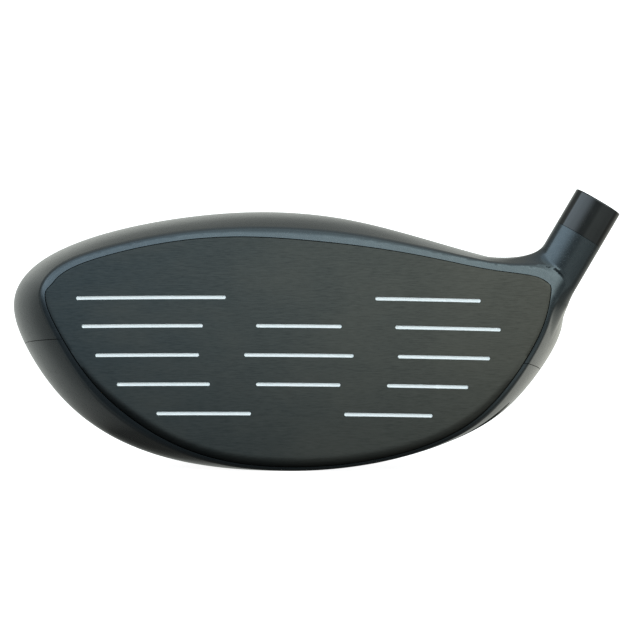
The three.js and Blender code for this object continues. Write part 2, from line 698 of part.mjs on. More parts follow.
// Moves the head so that its origin is on the ground under the middle of its bounding box.
const bounds = new THREE.Box3().setFromObject(driverHead);
const middle = bounds.getCenter(new THREE.Vector3());
driverHead.position.set(-middle.x, -middle.y, -bounds.min.z);

export default driverHead;
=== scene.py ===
"""Looks of a golf driver head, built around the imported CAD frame.

The shapes are worked out in millimetres, in the frame that the CAD's dimensions use, and are
moved to the row frame, in metres, when a mesh is made.
"""

import math

import bmesh
import bpy
import numpy as np
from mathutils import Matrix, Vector


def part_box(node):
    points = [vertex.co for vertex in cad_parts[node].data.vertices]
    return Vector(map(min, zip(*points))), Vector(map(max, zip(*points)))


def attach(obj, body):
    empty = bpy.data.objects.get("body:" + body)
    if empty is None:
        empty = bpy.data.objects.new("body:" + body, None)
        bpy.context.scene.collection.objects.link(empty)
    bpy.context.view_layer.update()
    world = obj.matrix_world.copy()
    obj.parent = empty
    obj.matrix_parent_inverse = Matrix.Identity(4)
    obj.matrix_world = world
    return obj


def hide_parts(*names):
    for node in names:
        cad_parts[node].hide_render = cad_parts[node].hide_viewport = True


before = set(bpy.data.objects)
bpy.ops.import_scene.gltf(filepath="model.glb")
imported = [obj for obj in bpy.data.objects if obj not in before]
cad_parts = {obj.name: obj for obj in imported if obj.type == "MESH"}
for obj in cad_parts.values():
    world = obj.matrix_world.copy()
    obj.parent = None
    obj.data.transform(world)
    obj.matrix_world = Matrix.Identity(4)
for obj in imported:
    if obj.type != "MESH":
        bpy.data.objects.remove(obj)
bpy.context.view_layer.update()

# ---------------------------------------------------------------- dimensions, in mm

FACE_X, FACE_Y, FACE_Z = -4.5, -51.2, 28.5
FACE_RADIUS = 300
LOFT = math.radians(10.5)
FACE_THICKNESS = 2.6
EDGE_RADIUS, LOW_EDGE_RADIUS = 1.3, 3.0
TOPLINE_BAND, TOPLINE_SWELL, SWELL_X, SWELL_REACH = 1.95, 0.7, 4, 20
SIDE_BAND = 0.9
PLATE_GAP = 0.12
PLATE_EDGE, EDGE_TURNS = 0.18, (0.52, 1.05, 1.57)
FACE_MARGIN = 2

HUB = (-7, 38)
TAIL = (-6, 55, 29)
FLARE_END = 0.3
CLOSE_START = 0.18
WALL = 0.9
LIP_OVERLAP, LIP_THICKNESS, LIP_HEIGHT = 0.05, 0.6, 1.6

SEAM_Z, SEAM_Y = 26.3, FACE_Y + 30
SEAM_PER_X, SEAM_PER_Y = -0.053, -0.065
SEAM_GAP = 0.14

# Places along the hosel are distances down its axis from its top end.
LIE = math.radians(59.5)
HOSEL_TOP = np.array([67.7, FACE_Y + 16.5, 63.8])
HOSEL_RADIUS = 6
BORE_RADIUS = 5.3
COLLAR_END = 9.1
HOSEL_START = 6
NECK_START = COLLAR_END + 0.03
NECK_END = 36
NECK_FILLET = {"toe": 14.5, "back": 11, "front": 4, "heel": 4}
NECK_TAPER_START, NECK_TAPER = 25, 0.3
SLEEVE_RADIUS, SHAFT_RADIUS = 5, 4.3
SHAFT_DEPTH, SLEEVE_END = 29, 40
SLEEVE_GROOVES, FIRST_GROOVE, GROOVE_PITCH, GROOVE_DEPTH = 5, 12, 3.2, 0.25
SLEEVE_HOLE, KEY_SLOTS, KEY_WIDTH = 2.8, 4, 2.2
SCREW_TIP, SCREW_HEAD_START, SCREW_HEAD_END = 32, 49.5, 53.5
SCREW_CREST, SCREW_ROOT, SCREW_PITCH, SCREW_TURNS = 2.5, 2.1, 0.8, 9
SCREW_NECK, SCREW_HEAD, SCREW_DRIVE = 2.4, 4.2, 2.3
TUBE_END = 76

# Heights of the port and the weight are measured outwards from the sole's skin.
PORT_SHARE = 0.8
PORT_RIM, PORT_POCKET, PORT_DEPTH = 9.5, 7.9, 6
PORT_BLANK, PORT_FLOOR, PORT_HOLE = 7, 1.6, 2.4
WEIGHT_TOP, WEIGHT_UNDER, WEIGHT_RADIUS, WEIGHT_DRIVE = -0.3, -4.9, 7.4, 2.7
WEIGHT_CREST, WEIGHT_ROOT, WEIGHT_PITCH, WEIGHT_TURNS = 2.0, 1.6, 1, 4
WEIGHT_MARKS, MARK_START, MARK_END, MARK_WIDTH = 12, 5.3, 6.4, 0.44
WELD_GAP = 0.15
BADGE_SHARE, BADGE_WIDTH, BADGE_LENGTH, BADGE_THICKNESS = 0.56, 14, 8, 0.5
BADGE_GAP = 0.12

# Corners, as (x, z), of closed splines around the face's edge and around the widest section.
FRONT_EDGE = [
    (55.4, 34), (57, 40.6), (57.6, 48), (44.1, 48.8), (32.3, 51.5), (20.5, 54.1),
    (8.7, 56.2), (-3.1, 57.3), (-14.9, 57.7), (-26.7, 57.2), (-38.5, 55.6), (-50.3, 52.9),
    (-60.6, 49.5), (-65.4, 44.4), (-65.1, 39), (-62, 33), (-57.6, 25.5), (-51.7, 18),
    (-43.6, 11.1), (-33.2, 4.9), (-21, 1.1), (-8, -0.1), (5, 0.3), (18, 2.4),
    (29.7, 6), (39.1, 11.3), (45.8, 18.5), (51.1, 26),
]
FULL_SECTION = [
    (60.5, 33.2), (60.7, 40.2), (58, 48.4), (45.3, 50), (32.3, 53.8), (20, 57.5),
    (7.7, 60.6), (-4.5, 62.1), (-17, 62.3), (-30, 61.2), (-43, 59.1), (-55.8, 55.8),
    (-67, 50.8), (-73.2, 44.3), (-74, 37.8), (-71.5, 31), (-66.9, 23), (-60.1, 14.7),
    (-50.4, 7.5), (-38.2, 2.5), (-24.3, -0.1), (-9, -0.9), (6, 0.1), (20, 2.3),
    (32.4, 5.9), (43.8, 11.5), (50.8, 18.3), (56.4, 25.7),
]
# Each row's z at the middle of the face, and the x of both ends of its score lines.
SCORE_ROWS = [
    (40.9, [(-56.7, -21.1), (14.3, 39.3)]),
    (34.2, [(-55.3, -26.5), (-13.9, 6.3), (19, 44)]),
    (27.3, [(-52, -27.4), (-16.7, 9.1), (19.6, 41.4)]),
    (20.4, [(-46.8, -24.8), (-13.9, 6), (17, 36.2)]),
    (13.5, [(-37.4, -15.1), (6.9, 27.7)]),
]
SCORE_WIDTH, SCORE_DEPTH, SCORE_ARCH, SCORE_TILT = 0.86, 0.34, 0.12, -0.0085

GRID_LOW, GRID_HIGH = (-78, -60, -3), (74, 60, 69)
CELL = 0.6
SKIN_TOLERANCE = 0.05
SKIN_ANGLE = math.radians(35)
BEYOND, BEFORE_FACE = 300, 20

DOWN = np.array([-math.cos(LIE), 0, -math.sin(LIE)])
TO_HEEL = np.array([math.sin(LIE), 0, -math.cos(LIE)])
TO_FRONT = np.array([0, -1, 0])

collar_low, collar_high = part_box("ferrule_collar")
collar_centre = (np.array(collar_low) + np.array(collar_high)) / 2 * 1000
SHIFT = collar_centre - (HOSEL_TOP + DOWN * COLLAR_END / 2)


def row(points):
    """Points of the dimensions' frame, in mm, as points of the row frame, in metres."""
    return (np.asarray(points, float) + SHIFT) / 1000


# ---------------------------------------------------------------- the body's form


def closed_spline(points, samples):
    """Points along the uniform cubic B-spline that closes on itself."""
    corners = np.array(points, float)
    along = np.arange(samples) / samples * len(corners)
    first = along.astype(int)
    f = (along - first)[:, None]
    weights = [(1 - f) ** 3, 3 * f**3 - 6 * f * f + 4, -3 * f**3 + 3 * f * f + 3 * f + 1, f**3]
    return sum(w / 6 * corners[(first + k - 1) % len(corners)] for k, w in enumerate(weights))


def inset_outline(outline, amount):
    """The outline moved inwards by an amount that depends on X and on how far the edge faces up."""
    run = np.roll(outline, -1, axis=0) - np.roll(outline, 1, axis=0)
    normal = np.c_[run[:, 1], -run[:, 0]] / np.hypot(*run.T)[:, None]
    return outline - normal * amount(outline[:, 0], normal[:, 1])[:, None]


def radius_around(outline):
    """The outline's distance from the hub as a function of the angle around it."""
    dx, dz = outline[:, 0] - HUB[0], outline[:, 1] - HUB[1]
    angle, radius = np.arctan2(dz, dx), np.hypot(dx, dz)
    order = np.argsort(angle)
    return lambda a: np.interp(a, angle[order], radius[order], period=2 * math.pi)


def smooth_step(value, low, high):
    t = np.clip((value - low) / (high - low), 0, 1)
    return t * t * (3 - 2 * t)


def band_width(x, up):
    """Width of the painted band around the face, which is widest along the middle of the topline."""
    topline = TOPLINE_BAND + TOPLINE_SWELL * np.exp(-(((x - SWELL_X) / SWELL_REACH) ** 2))
    return SIDE_BAND + (topline - SIDE_BAND) * smooth_step(up, 0, 0.6)


OUTLINE_SAMPLES = 6000
front_outline = closed_spline(FRONT_EDGE, OUTLINE_SAMPLES)
front_radius = radius_around(front_outline)
full_radius = radius_around(closed_spline(FULL_SECTION, OUTLINE_SAMPLES))
plate_radius = radius_around(inset_outline(front_outline, band_width))
opening_radius = radius_around(
    inset_outline(front_outline, lambda x, up: band_width(x, up) - PLATE_GAP)
)


def face_y(x, z):
    """The face's lofted and bulged front, before its edge is rounded."""
    fall = ((x - FACE_X) ** 2 + (z - FACE_Z) ** 2) / (2 * FACE_RADIUS)
    return FACE_Y + fall + (z - FACE_Z) * math.tan(LOFT)


def edge_radius(angle):
    """Radius of the rounded edge around the face, which is larger along the bottom."""
    return EDGE_RADIUS + (LOW_EDGE_RADIUS - EDGE_RADIUS) * smooth_step(-np.sin(angle), 0.1, 0.6)


def edge_drop(angle, radius):
    """How far the rounded edge takes the front back from the face's own curve."""
    rounding = edge_radius(angle)
    from_start = np.clip(rounding - (front_radius(angle) - radius), 0, rounding)
    return (rounding - np.sqrt(rounding**2 - from_start**2)) / math.cos(LOFT)


def section(share):
    """Centre and scale of the body's section at a share of the depth, 0 at the face."""
    closing = np.clip((share - CLOSE_START) / (1 - CLOSE_START), 0, 0.999999)
    shift = closing * closing * (3 - 2 * closing)
    wide = (1 - closing**2.2) ** 0.5
    high = (1 - closing**2) ** 0.6
    return HUB[0] + (TAIL[0] - HUB[0]) * shift, HUB[1] + (TAIL[2] - HUB[1]) * shift, wide, high


def section_radius(angle, share):
    flare = 1 - (1 - np.minimum(share / FLARE_END, 1)) ** 2
    return front_radius(angle) * (1 - flare) + full_radius(angle) * flare


def skin_depth(p):
    """How deep points lie under the body's skin, measured in their section."""
    x, y, z = p.T
    front = face_y(x, z)
    share = np.clip((y - front) / (TAIL[1] - front), 0, 1)
    hub_x, hub_z, wide, high = section(share)
    u, v = (x - hub_x) / wide, (z - hub_z) / high
    return section_radius(np.arctan2(v, u), share) - np.hypot(u, v)


def skin_point(angle, share):
    hub_x, hub_z, wide, high = section(share)
    radius = section_radius(angle, share)
    x = hub_x + radius * np.cos(angle) * wide
    z = hub_z + radius * np.sin(angle) * high
    front = face_y(x, z)
    return np.stack([x, front + (TAIL[1] - front) * share, z], -1)


def round_union(a, b, radius):
    """Inside a or b, with a fillet where they meet."""
    corner = np.hypot(np.maximum(radius - a, 0), np.maximum(radius - b, 0))
    return np.maximum(radius, np.minimum(a, b)) - corner


def round_cut(a, b, radius):
    """Inside both a and b, with a rounded edge where they meet."""
    corner = np.hypot(np.maximum(radius + a, 0), np.maximum(radius + b, 0))
    return np.minimum(-radius, np.maximum(a, b)) + corner


def fillet_radius(heel, front):
    """Radius of the fillet at the hosel's foot on the side that a unit direction points to."""
    toe_heel = np.where(heel > 0, NECK_FILLET["heel"], NECK_FILLET["toe"]) * heel**2
    return toe_heel + np.where(front > 0, NECK_FILLET["front"], NECK_FILLET["back"]) * front**2


def outer_field(p):
    """Negative inside the head, zero on its outer skin."""
    x, y, z = p.T
    rel = p - HOSEL_TOP
    heel, front, along = rel @ TO_HEEL, rel @ TO_FRONT, rel @ DOWN
    reach = np.hypot(heel, front) + 1e-9
    radius = HOSEL_RADIUS - NECK_TAPER * np.maximum(along - NECK_TAPER_START, 0)
    hosel = np.maximum(reach - radius, np.maximum(HOSEL_START - along, along - NECK_END))
    fillet = fillet_radius(heel / reach, front / reach)
    skin = -skin_depth(p)
    joined = round_union(skin, hosel, fillet)
    before_face = (face_y(x, z) - y) * math.cos(LOFT)
    angle = np.arctan2(z - HUB[1], x - HUB[0])
    inside_face = front_radius(angle) + FACE_MARGIN - np.hypot(x - HUB[0], z - HUB[1])
    return round_cut(joined, np.minimum(before_face, inside_face), edge_radius(angle))


def slope_of(field, points, step=0.02):
    slope = np.zeros_like(points)
    for axis in range(3):
        move = np.zeros(3)
        move[axis] = step
        slope[:, axis] = field(points + move) - field(points - move)
    return slope / np.maximum(np.linalg.norm(slope, axis=1), 1e-12)[:, None]


def settle(field, points, reach):
    """Points moved along the field's slope to where the field is zero."""
    halvings = 14
    normal = slope_of(field, points)
    low, high = np.full(len(points), -reach), np.full(len(points), reach)
    for _ in range(halvings):
        middle = (low + high) / 2
        outside = field(points + normal * middle[:, None]) > 0
        high = np.where(outside, middle, high)
        low = np.where(outside, low, middle)
    return points + normal * ((low + high) / 2)[:, None]


def surface_nets(field, low, high, cell):
    """Vertices and quads of the field's zero surface, one vertex to a grid cell."""
    axes = [np.arange(a, b, cell) for a, b in zip(low, high)]
    values = np.empty([len(a) for a in axes], np.float32)
    gy, gz = np.meshgrid(axes[1], axes[2], indexing="ij")
    for i, x in enumerate(axes[0]):
        values[i] = field(np.c_[np.full(gy.size, x), gy.ravel(), gz.ravel()]).reshape(gy.shape)
    inside = values < 0
    corners = np.array([(i, j, k) for i in (0, 1) for j in (0, 1) for k in (0, 1)])
    size = np.array(values.shape) - 1
    full = np.ones(size, bool)
    empty = np.ones(size, bool)
    for i, j, k in corners:
        part = inside[i : i + size[0], j : j + size[1], k : k + size[2]]
        full &= part
        empty &= ~part
    active = ~(full | empty)
    cells = np.argwhere(active)
    at_corner = [values[tuple((cells + c).T)] for c in corners]
    total, count = np.zeros((len(cells), 3)), np.zeros(len(cells))
    for a in range(8):
        for b in range(a + 1, 8):
            if abs(corners[a] - corners[b]).sum() != 1:
                continue
            va, vb = at_corner[a], at_corner[b]
            crosses = (va < 0) != (vb < 0)
            t = np.where(crosses, va / np.where(crosses, va - vb, 1), 0)
            crossing = corners[a] + t[:, None] * (corners[b] - corners[a])
            total += np.where(crosses[:, None], crossing, 0)
            count += crosses
    vertices = np.array([a[0] for a in axes]) + cell * (cells + total / count[:, None])
    index = np.full(size, -1)
    index[active] = np.arange(len(cells))
    quads = []
    for axis in range(3):
        u, v = np.eye(3, dtype=int)[(axis + 1) % 3], np.eye(3, dtype=int)[(axis + 2) % 3]
        before = np.take(inside, range(size[axis]), axis)
        after = np.take(inside, range(1, size[axis] + 1), axis)
        edges = np.argwhere(before != after)
        edges = edges[((edges > 0) | (np.arange(3) == axis)).all(1) & (edges < size).all(1)]
        loop = [edges - u - v, edges - v, edges, edges - u]
        quad = np.stack([index[tuple(e.T)] for e in loop], 1)
        leaving = before[tuple(edges.T)]
        quads.append(np.where(leaving[:, None], quad, quad[:, ::-1]))
    return vertices, np.concatenate(quads)


# ---------------------------------------------------------------- meshes


def make_object(name, points, faces, in_row_frame=False):
    mesh = bpy.data.meshes.new(name)
    places = np.asarray(points, float) if in_row_frame else row(points)
    mesh.from_pydata(places.tolist(), [], [tuple(int(i) for i in f) for f in faces])
    mesh.validate()
    made = bpy.data.objects.new(name, mesh)
    bpy.context.scene.collection.objects.link(made)
    return made


def ring_faces(counts):
    """Faces of a closed surface through rings of points. A ring of one point is a pole."""
    faces, start = [], 0
    for here, there in zip(counts, counts[1:]):
        a, b = start, start + here
        for i in range(max(here, there)):
            j = (i + 1) % max(here, there)
            if here == 1:
                faces.append((a, b + i, b + j))
            elif there == 1:
                faces.append((a + i, b, a + j))
            else:
                faces.append((a + i, b + i, b + j, a + j))
        start += here
    return faces


def rings_object(name, rings):
    """Closed object through rings that run from its front pole to its back pole."""
    return make_object(name, np.concatenate(rings), ring_faces([len(r) for r in rings]))


def cut(target, other, operation="DIFFERENCE", keep=False):
    """Joins or cuts two closed objects and applies the result to the first one."""
    modifier = target.modifiers.new("cut", "BOOLEAN")
    modifier.operation = operation
    modifier.solver = "MANIFOLD"
    modifier.object = other
    bpy.context.view_layer.update()
    graph = bpy.context.evaluated_depsgraph_get()
    made = bpy.data.meshes.new_from_object(target.evaluated_get(graph))
    target.modifiers.clear()
    old = target.data
    target.data = made
    bpy.data.meshes.remove(old)
    if not keep:
        bpy.data.objects.remove(other)
    return target


def copy_of(source, name):
    """Object of its own with a copy of the source's mesh."""
    made = bpy.data.objects.new(name, source.data.copy())
    bpy.context.scene.collection.objects.link(made)
    return made


def sole_frame(share):
    """Rows X, Y and Z, and the origin, of a frame on the sole whose Z points out of the body."""
    down, step = -math.pi / 2, 1e-3
    point = skin_point(down, share)
    out = np.cross(skin_point(down, share + step) - point, skin_point(down + step, share) - point)
    out = out / np.linalg.norm(out) * -np.sign(out[2])
    third = np.cross(out, (1, 0, 0))
    third /= np.linalg.norm(third)
    return np.array([np.cross(third, out), third, out]), point


def placed(points, place):
    """Points of a frame, given by its axes and origin, as points of the dimensions' frame."""
    basis, origin = place
    return np.asarray(points, float) @ basis + origin


def turned(name, place, profile, segments=72):
    """Solid of revolution about the frame's Z, from (radius, distance) corners in order."""
    turns = np.arange(segments) / segments * 2 * math.pi
    rings = []
    for radius, along in profile:
        if radius == 0:
            rings.append(placed([(0, 0, along)], place))
        else:
            circle = np.c_[radius * np.cos(turns), radius * np.sin(turns), np.full(segments, along)]
            rings.append(placed(circle, place))
    if profile[0][0] > 0:
        rings.append(rings[0])
    return welded(rings_object(name, rings))


def welded(made):
    """Joins vertices that coincide and turns the faces outwards."""
    work = bmesh.new()
    work.from_mesh(made.data)
    bmesh.ops.remove_doubles(work, verts=work.verts, dist=1e-7)
    bmesh.ops.recalc_face_normals(work, faces=work.faces)
    if work.calc_volume(signed=True) < 0:
        bmesh.ops.reverse_faces(work, faces=work.faces)
    work.to_mesh(made.data)
    work.free()
    return made


def prism(name, place, outline, low, high):
    """Straight prism along the frame's Z over an outline of (x, y) corners."""
    outline = np.asarray(outline, float)
    rings = [placed(np.c_[outline, np.full(len(outline), z)], place) for z in (low, high)]
    centre = outline.mean(0)
    caps = [placed([(*centre, z)], place) for z in (low, high)]
    return welded(rings_object(name, [caps[0], *rings, caps[1]]))


def lobes(radius, depth, count=6, samples=96):
    """Outline of a six-lobed socket."""
    turn = np.arange(samples) / samples * 2 * math.pi
    reach = radius - depth * (0.5 + 0.5 * np.cos(count * turn)) ** 1.5
    return np.c_[reach * np.cos(turn), reach * np.sin(turn)]


def bar(start, end, width, turn):
    """Outline of a bar that runs outwards from the axis, in the direction of a turn about it."""
    half = width / 2
    outline = np.array([(start, -half), (end, -half), (end, half), (start, half)])
    c, s = math.cos(turn), math.sin(turn)
    return outline @ np.array([[c, s], [-s, c]])


def square(half):
    return [(-half, -half), (half, -half), (half, half), (-half, half)]


def thread(start, pitch, turns, crest, root):
    """Profile corners of a ridged thread. A negative pitch runs towards the frame's -Z."""
    corners = []
    for k in range(turns):
        corners += [(crest, start + k * pitch), (root, start + (k + 0.5) * pitch)]
    return corners


def shade(made, degrees):
    """Smooth shading, with edges sharper than the angle kept crisp."""
    made.data.polygons.foreach_set("use_smooth", np.ones(len(made.data.polygons), bool))
    made.data.set_sharp_from_angle(angle=math.radians(degrees))


def follow_skin(made):
    """Gives the corners that lie on the outer skin the exact normal of the body's form."""
    mesh = made.data
    places = np.empty(len(mesh.vertices) * 3)
    mesh.vertices.foreach_get("co", places)
    points = places.reshape(-1, 3) * 1000 - SHIFT
    normal = slope_of(outer_field, points)
    normal[np.abs(outer_field(points)) > SKIN_TOLERANCE] = 0
    corner_vertex = np.empty(len(mesh.loops), np.int32)
    mesh.loops.foreach_get("vertex_index", corner_vertex)
    face_normal = np.empty(len(mesh.polygons) * 3)
    mesh.polygons.foreach_get("normal", face_normal)
    corners = np.empty(len(mesh.polygons), np.int32)
    mesh.polygons.foreach_get("loop_total", corners)
    per_corner = np.repeat(face_normal.reshape(-1, 3), corners, axis=0)
    chosen = normal[corner_vertex]
    chosen[(chosen * per_corner).sum(1) < math.cos(SKIN_ANGLE)] = 0
    mesh.normals_split_custom_set(chosen.tolist())


# ---------------------------------------------------------------- materials


class Finish:
    """A material under construction around one Principled shader."""

    def __init__(self, name, **settings):
        self.material = bpy.data.materials.new(name)
        self.material.use_nodes = True
        self.tree = self.material.node_tree
        self.shader = self.tree.nodes["Principled BSDF"]
        for key, value in settings.items():
            self.shader.inputs[key.replace("_", " ")].default_value = value
        self.place = self.node("ShaderNodeTexCoord").outputs["Object"]

    def node(self, kind, inputs=None, **settings):
        made = self.tree.nodes.new(kind)
        for key, value in settings.items():
            setattr(made, key, value)
        for key, value in (inputs or {}).items():
            if isinstance(value, bpy.types.NodeSocket):
                self.tree.links.new(value, made.inputs[key])
            else:
                made.inputs[key].default_value = value
        return made

    def noise(self, scale, stretch=(1, 1, 1), detail=3, roughness=0.5):
        """Noise with features of 1/scale metres, made finer along each axis by its stretch."""
        mapping = self.node("ShaderNodeMapping", {"Vector": self.place, "Scale": stretch})
        inputs = {"Vector": mapping.outputs[0], "Scale": scale, "Detail": detail}
        found = self.node("ShaderNodeTexNoise", {**inputs, "Roughness": roughness})
        return found.outputs["Fac"]

    def ramp(self, value, stops):
        """Colours at places from 0 to 1, blended in between."""
        made = self.node("ShaderNodeValToRGB", {"Fac": value})
        ramp = made.color_ramp
        while len(ramp.elements) < len(stops):
            ramp.elements.new(0.5)
        for element, (at, colour) in zip(ramp.elements, stops):
            element.position = at
            element.color = (*colour, 1)
        return made.outputs[0]

    def blend(self, value, dark, light):
        """Noise's usual range as colours from dark to light."""
        return self.ramp(value, [(0.3, dark), (0.7, light)])

    def remap(self, value, low, high, from_low=0.3, from_high=0.7):
        """A value's range, at first noise's usual one, as a range from low to high."""
        source = {"Value": value, "From Min": from_low, "From Max": from_high}
        made = self.node("ShaderNodeMapRange", {**source, "To Min": low, "To Max": high})
        return made.outputs[0]

    def mix(self, factor, a, b):
        made = self.node("ShaderNodeMix", data_type="RGBA")
        for socket, value in ((made.inputs[0], factor), (made.inputs[6], a), (made.inputs[7], b)):
            if isinstance(value, bpy.types.NodeSocket):
                self.tree.links.new(value, socket)
            else:
                socket.default_value = value
        return made.outputs[2]

    def link(self, value, socket):
        self.tree.links.new(value, self.shader.inputs[socket])

    def bump(self, height, strength, distance, before=None):
        inputs = {"Height": height, "Strength": strength, "Distance": distance}
        if before is not None:
            inputs["Normal"] = before
        return self.node("ShaderNodeBump", inputs).outputs[0]


def charcoal_paint():
    """Dark metallic paint with fine flakes under a clear coat."""
    f = Finish("charcoal_paint", Metallic=0.85, Roughness=0.32, Coat_Weight=1.0, Coat_Roughness=0.035)
    cloud = f.blend(f.noise(45, detail=2), (0.084, 0.110, 0.124), (0.097, 0.125, 0.139))
    flakes = f.node("ShaderNodeTexVoronoi", {"Vector": f.place, "Scale": 6500}, feature="F1")
    spark = f.node("ShaderNodeSeparateColor", {"Color": flakes.outputs["Color"]}).outputs[0]
    f.link(f.mix(f.remap(spark, 0, 0.3, 0.5, 1), cloud, (0.19, 0.21, 0.22, 1)), "Base Color")
    f.link(f.remap(f.noise(700, detail=4), 0.21, 0.3), "Roughness")
    f.link(f.bump(f.noise(900, detail=1), 0.03, 0.0002), "Coat Normal")
    return f.material


def brushed_face():
    """Dark metal brushed from toe to heel, with lighter, warmer patches at random, and painted light:
    darker and cooler at the toe, lighter and warmer towards the heel.
    """
    f = Finish("brushed_face", Metallic=1.0, Roughness=0.42)
    streaks = f.noise(1, stretch=(420, 420, 5200), detail=6, roughness=0.7)
    fine = f.noise(1, stretch=(500, 500, 16000), detail=3, roughness=0.6)
    # Lighter, warmer patches at random.
    warm_patches = f.noise(1, stretch=(60, 60, 90), detail=4)
    across = f.node("ShaderNodeSeparateXYZ", {"Vector": f.place}).outputs[0]
    # Painted shade and highlight: the base colour runs from darker and cooler at the toe to lighter
    # and warmer at the heel, standing in for the face's reflections.
    painted_toe_shade, painted_heel_light = (0.064, 0.078, 0.082), (0.104, 0.100, 0.086)
    tint = f.ramp(f.remap(across, 0, 1, -0.06, 0.055), [(0, painted_toe_shade), (1, painted_heel_light)])
    lit = f.mix(f.remap(streaks, 0, 0.32, 0.4, 0.75), tint, (0.150, 0.155, 0.142, 1))
    dark = f.mix(f.remap(streaks, 0.4, 0, 0.25, 0.5), lit, (0.034, 0.040, 0.040, 1))
    f.link(f.mix(f.remap(warm_patches, 0, 0.28, 0.42, 0.7), dark, (0.135, 0.130, 0.112, 1)), "Base Color")
    f.link(f.remap(fine, 0.34, 0.52), "Roughness")
    f.link(f.bump(fine, 0.12, 0.00004, f.bump(streaks, 0.16, 0.00008)), "Normal")
    return f.material


def score_paint():
    f = Finish("score_paint", Roughness=0.45)
    f.link(f.blend(f.noise(1500), (0.80, 0.88, 0.90), (0.90, 0.95, 0.97)), "Base Color")
    f.link(f.bump(f.noise(4000), 0.1, 0.00005), "Normal")
    return f.material


def gloss_black():
    f = Finish("gloss_black", Roughness=0.12, IOR=1.65, Coat_Weight=1.0, Coat_Roughness=0.03)
    f.link(f.blend(f.noise(120), (0.010, 0.012, 0.012), (0.016, 0.018, 0.018)), "Base Color")
    f.link(f.remap(f.noise(1200, detail=4), 0.08, 0.16), "Roughness")
    f.link(f.bump(f.noise(700, detail=1), 0.03, 0.0002), "Coat Normal")
    return f.material


def cast_titanium():
    f = Finish("cast_titanium", Metallic=1.0, Roughness=0.5)
    f.link(f.blend(f.noise(180, detail=5), (0.30, 0.295, 0.28), (0.42, 0.41, 0.39)), "Base Color")
    f.link(f.remap(f.noise(900, detail=4), 0.42, 0.6), "Roughness")
    f.link(f.bump(f.noise(2600, detail=4), 0.3, 0.0001), "Normal")
    return f.material


def black_anodised():
    f = Finish("black_anodised", Metallic=0.9, Roughness=0.38)
    f.link(f.blend(f.noise(400), (0.016, 0.017, 0.018), (0.030, 0.031, 0.033)), "Base Color")
    f.link(f.remap(f.noise(2000, detail=4), 0.3, 0.46), "Roughness")
    f.link(f.bump(f.noise(6000, detail=2), 0.15, 0.00005), "Normal")
    return f.material


def satin_steel(name, dark, light):
    f = Finish(name, Metallic=1.0, Roughness=0.3)
    f.link(f.blend(f.noise(500, detail=4), dark, light), "Base Color")
    f.link(f.remap(f.noise(2500, detail=4), 0.22, 0.38), "Roughness")
    f.link(f.bump(f.noise(8000, detail=2), 0.1, 0.00003), "Normal")
    return f.material


def soft_plastic(name, dark, light, roughness):
    f = Finish(name, Roughness=roughness)
    f.link(f.blend(f.noise(600, detail=4), dark, light), "Base Color")
    f.link(f.remap(f.noise(1800), roughness - 0.06, roughness + 0.06), "Roughness")
    f.link(f.bump(f.noise(5000, detail=3), 0.2, 0.00005), "Normal")
    return f.material


def set_materials(made, *materials):
    made.data.materials.clear()
    for m in materials:
        made.data.materials.append(m)


paint = charcoal_paint()
face_metal = brushed_face()
white_fill = score_paint()
black = gloss_black()
titanium = cast_titanium()
anodised = black_anodised()
steel = satin_steel("screw_steel", (0.42, 0.43, 0.45), (0.58, 0.59, 0.61))
weight_metal = satin_steel("weight_metal", (0.12, 0.125, 0.13), (0.19, 0.195, 0.2))
badge_metal = satin_steel("badge_metal", (0.30, 0.32, 0.34), (0.42, 0.44, 0.46))
rubber = soft_plastic("rubber", (0.008, 0.008, 0.008), (0.016, 0.016, 0.016), 0.75)
nylon = soft_plastic("nylon", (0.62, 0.61, 0.55), (0.72, 0.71, 0.66), 0.5)
hot_melt = soft_plastic("hot_melt", (0.50, 0.30, 0.08), (0.62, 0.40, 0.14), 0.35)

# ---------------------------------------------------------------- shell


def outer_solid():
    """The whole head without any hollow, from a grid around it."""
    points, quads = surface_nets(outer_field, GRID_LOW, GRID_HIGH, CELL)
    points = settle(outer_field, points, CELL)
    return make_object("outer", points, quads)


def skin_solid(name, wall, around=120, along=40):
    """Closed body of the skin moved inwards by the wall."""
    front_rings = 6
    turns = np.arange(around) / around * 2 * math.pi
    rings = []
    for k in range(1, front_rings):
        reach = front_radius(turns) * k / front_rings
        x, z = HUB[0] + reach * np.cos(turns), HUB[1] + reach * np.sin(turns)
        rings.append(np.c_[x, face_y(x, z) + wall, z])
    centre = np.array([[HUB[0], face_y(*HUB) + wall, HUB[1]]])
    for k in range(along):
        share = math.sin(max(k, 0.4) / along * math.pi / 2)
        points = skin_point(turns, np.full(around, share))
        normal = slope_of(lambda p: -skin_depth(p), points)
        rings.append(points - normal * wall)
    tail = np.array([[TAIL[0], TAIL[1] - wall, TAIL[2]]])
    return welded(rings_object(name, [centre, *rings, tail]))


def along_seam(name, low, high):
    """Huge slab between two heights above the plane of the seam."""
    up = np.array([-SEAM_PER_X, -SEAM_PER_Y, 1])
    up /= np.linalg.norm(up)
    across = np.cross(up, (0, 1, 0))
    across /= np.linalg.norm(across)
    place = np.array([across, np.cross(up, across), up]), np.array([0, SEAM_Y, SEAM_Z])
    return prism(name, place, square(BEYOND), low, high)


